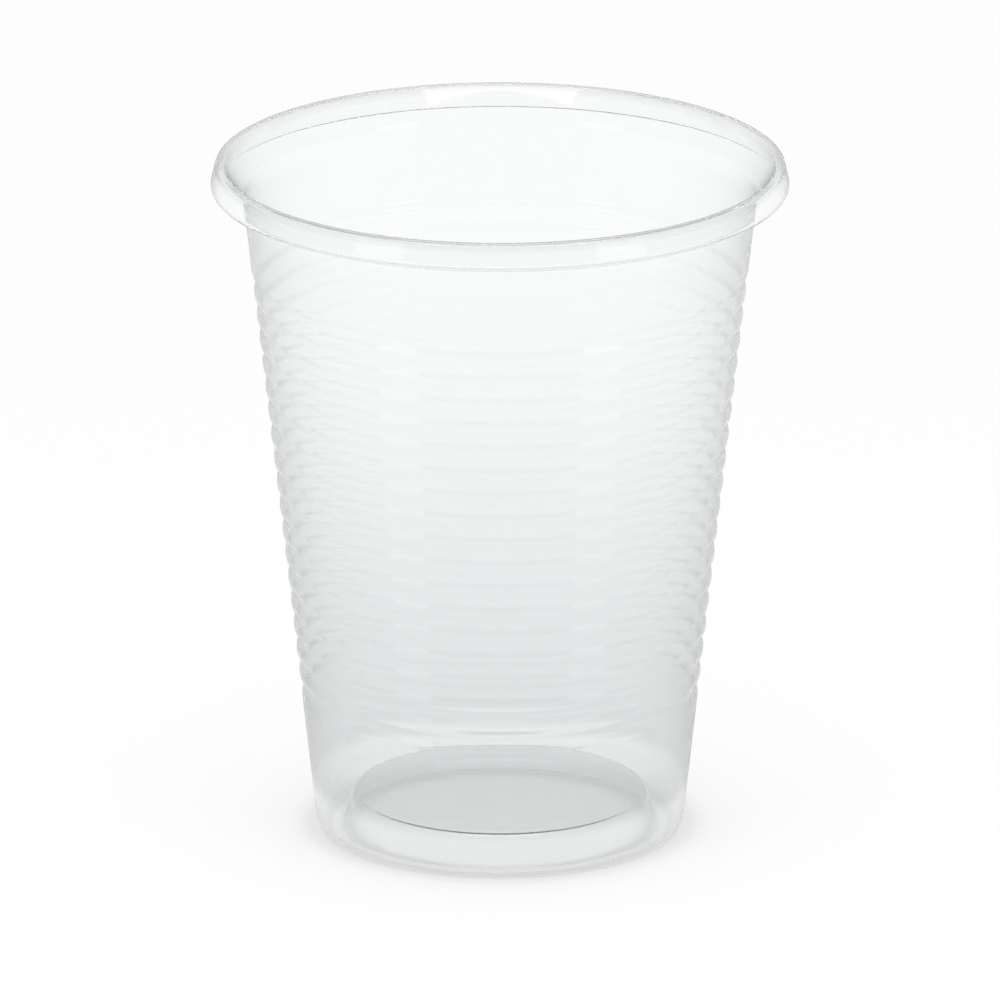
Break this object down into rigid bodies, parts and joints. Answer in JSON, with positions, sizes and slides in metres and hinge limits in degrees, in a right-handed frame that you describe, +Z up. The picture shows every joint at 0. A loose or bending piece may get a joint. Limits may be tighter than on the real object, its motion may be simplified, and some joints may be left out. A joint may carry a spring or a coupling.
{
  "type": "disposable drinking cup",
  "caption": "Thin clear plastic drinking cup with a tapered side of shallow rounded grooves, a rolled rim, a rounded heel and a raised base inside a flat foot ring.",
  "frame": {"origin": "centre of the foot ring's flat face, on the surface that the cup stands on", "axes": "+Z up along the cup's axis of symmetry; X and Y are free, because the cup is round"},
  "size_m": [0.07, 0.07, 0.084],
  "materials": {
    "clear_polypropylene": "clear and glossy, with a faint haze"
  },
  "bodies": {
    "root": {"cup": "clear_polypropylene"}
  },
  "joints": []
}
